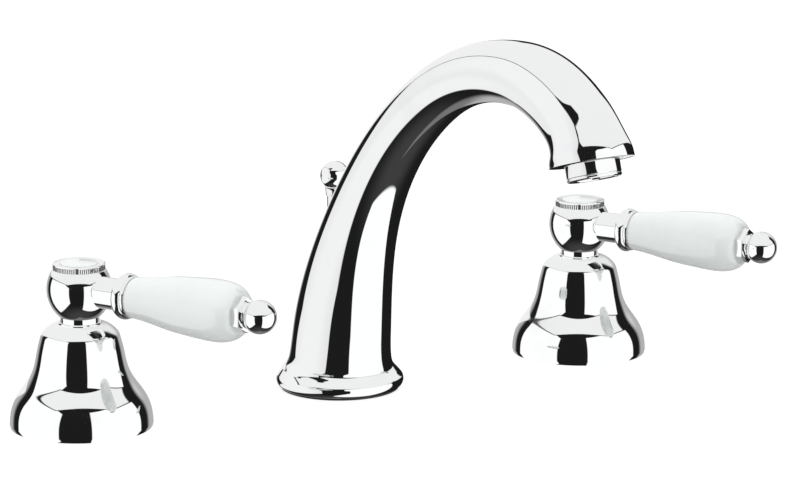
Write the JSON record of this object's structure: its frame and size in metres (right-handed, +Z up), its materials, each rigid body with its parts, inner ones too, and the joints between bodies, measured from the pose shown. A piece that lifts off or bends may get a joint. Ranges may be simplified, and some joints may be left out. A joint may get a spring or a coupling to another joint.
{
  "type": "basin mixer tap",
  "caption": "Widespread basin mixer tap: polished swan-neck spout with a pop-up lift rod, between bell-covered quarter-turn valves with white porcelain lever handles.",
  "frame": {"origin": "centre of the spout's foot on the basin deck's top face", "axes": "+Z up out of the deck, -Y along the spout towards the user, +X to the user's right along the row of holes"},
  "size_m": [0.2996, 0.218, 0.2518],
  "materials": {
    "chrome": "mirror-polished chrome plate",
    "brass": "plain machined brass",
    "steel": "bright zinc-plated or stainless steel",
    "porcelain": "glossy white glaze",
    "alumina": "lapped ceramic",
    "rubber": "matt black rubber",
    "plastic": "pale moulded plastic"
  },
  "bodies": {
    "fixed": {"spout_body": "chrome", "spout_base_seal": "rubber", "spout_shank": "brass", "spout_inlet_stub": "brass", "spout_rubber_washer": "rubber", "spout_metal_washer": "steel", "spout_lock_nut": "brass", "aerator_housing": "chrome", "aerator_insert": "plastic", "aerator_screen": "steel", "aerator_seal": "rubber", "lift_rod_bush": "plastic", "hot_bell_cover": "chrome", "hot_deck_gasket": "rubber", "hot_valve_body": "brass", "hot_hose_nipple": "brass", "hot_rubber_washer": "rubber", "hot_metal_washer": "steel", "hot_lock_nut": "brass", "hot_headwork": "brass", "hot_seat_seal": "rubber", "hot_fixed_disc": "alumina", "cold_bell_cover": "chrome", "cold_deck_gasket": "rubber", "cold_valve_body": "brass", "cold_hose_nipple": "brass", "cold_rubber_washer": "rubber", "cold_metal_washer": "steel", "cold_lock_nut": "brass", "cold_headwork": "brass", "cold_seat_seal": "rubber", "cold_fixed_disc": "alumina"},
    "hot_handle": {"hot_moving_disc": "alumina", "hot_spindle": "brass", "hot_handle_hub": "chrome", "hot_hub_screw": "steel", "hot_index_ring": "chrome", "hot_index_disc": "porcelain", "hot_lever_stem": "chrome", "hot_tie_rod": "steel", "hot_grip_washer": "plastic", "hot_porcelain_grip": "porcelain", "hot_finial": "chrome"},
    "cold_handle": {"cold_moving_disc": "alumina", "cold_spindle": "brass", "cold_handle_hub": "chrome", "cold_hub_screw": "steel", "cold_index_ring": "chrome", "cold_index_disc": "porcelain", "cold_lever_stem": "chrome", "cold_tie_rod": "steel", "cold_grip_washer": "plastic", "cold_porcelain_grip": "porcelain", "cold_finial": "chrome"},
    "lift_rod": {"lift_rod": "chrome", "lift_knob": "chrome"}
  },
  "joints": [
    {"name": "hot_turn", "type": "hinge", "parent": "fixed", "child": "hot_handle", "pos_m": [-0.115, 0, 0], "axis": [0, 0, -1], "range_deg": [0, 90]},
    {"name": "cold_turn", "type": "hinge", "parent": "fixed", "child": "cold_handle", "pos_m": [0.115, 0, 0], "axis": [0, 0, 1], "range_deg": [0, 90]},
    {"name": "rod_lift", "type": "slide", "parent": "fixed", "child": "lift_rod", "axis": [0, 0, 1], "range_m": [0, 0.022]}
  ]
}
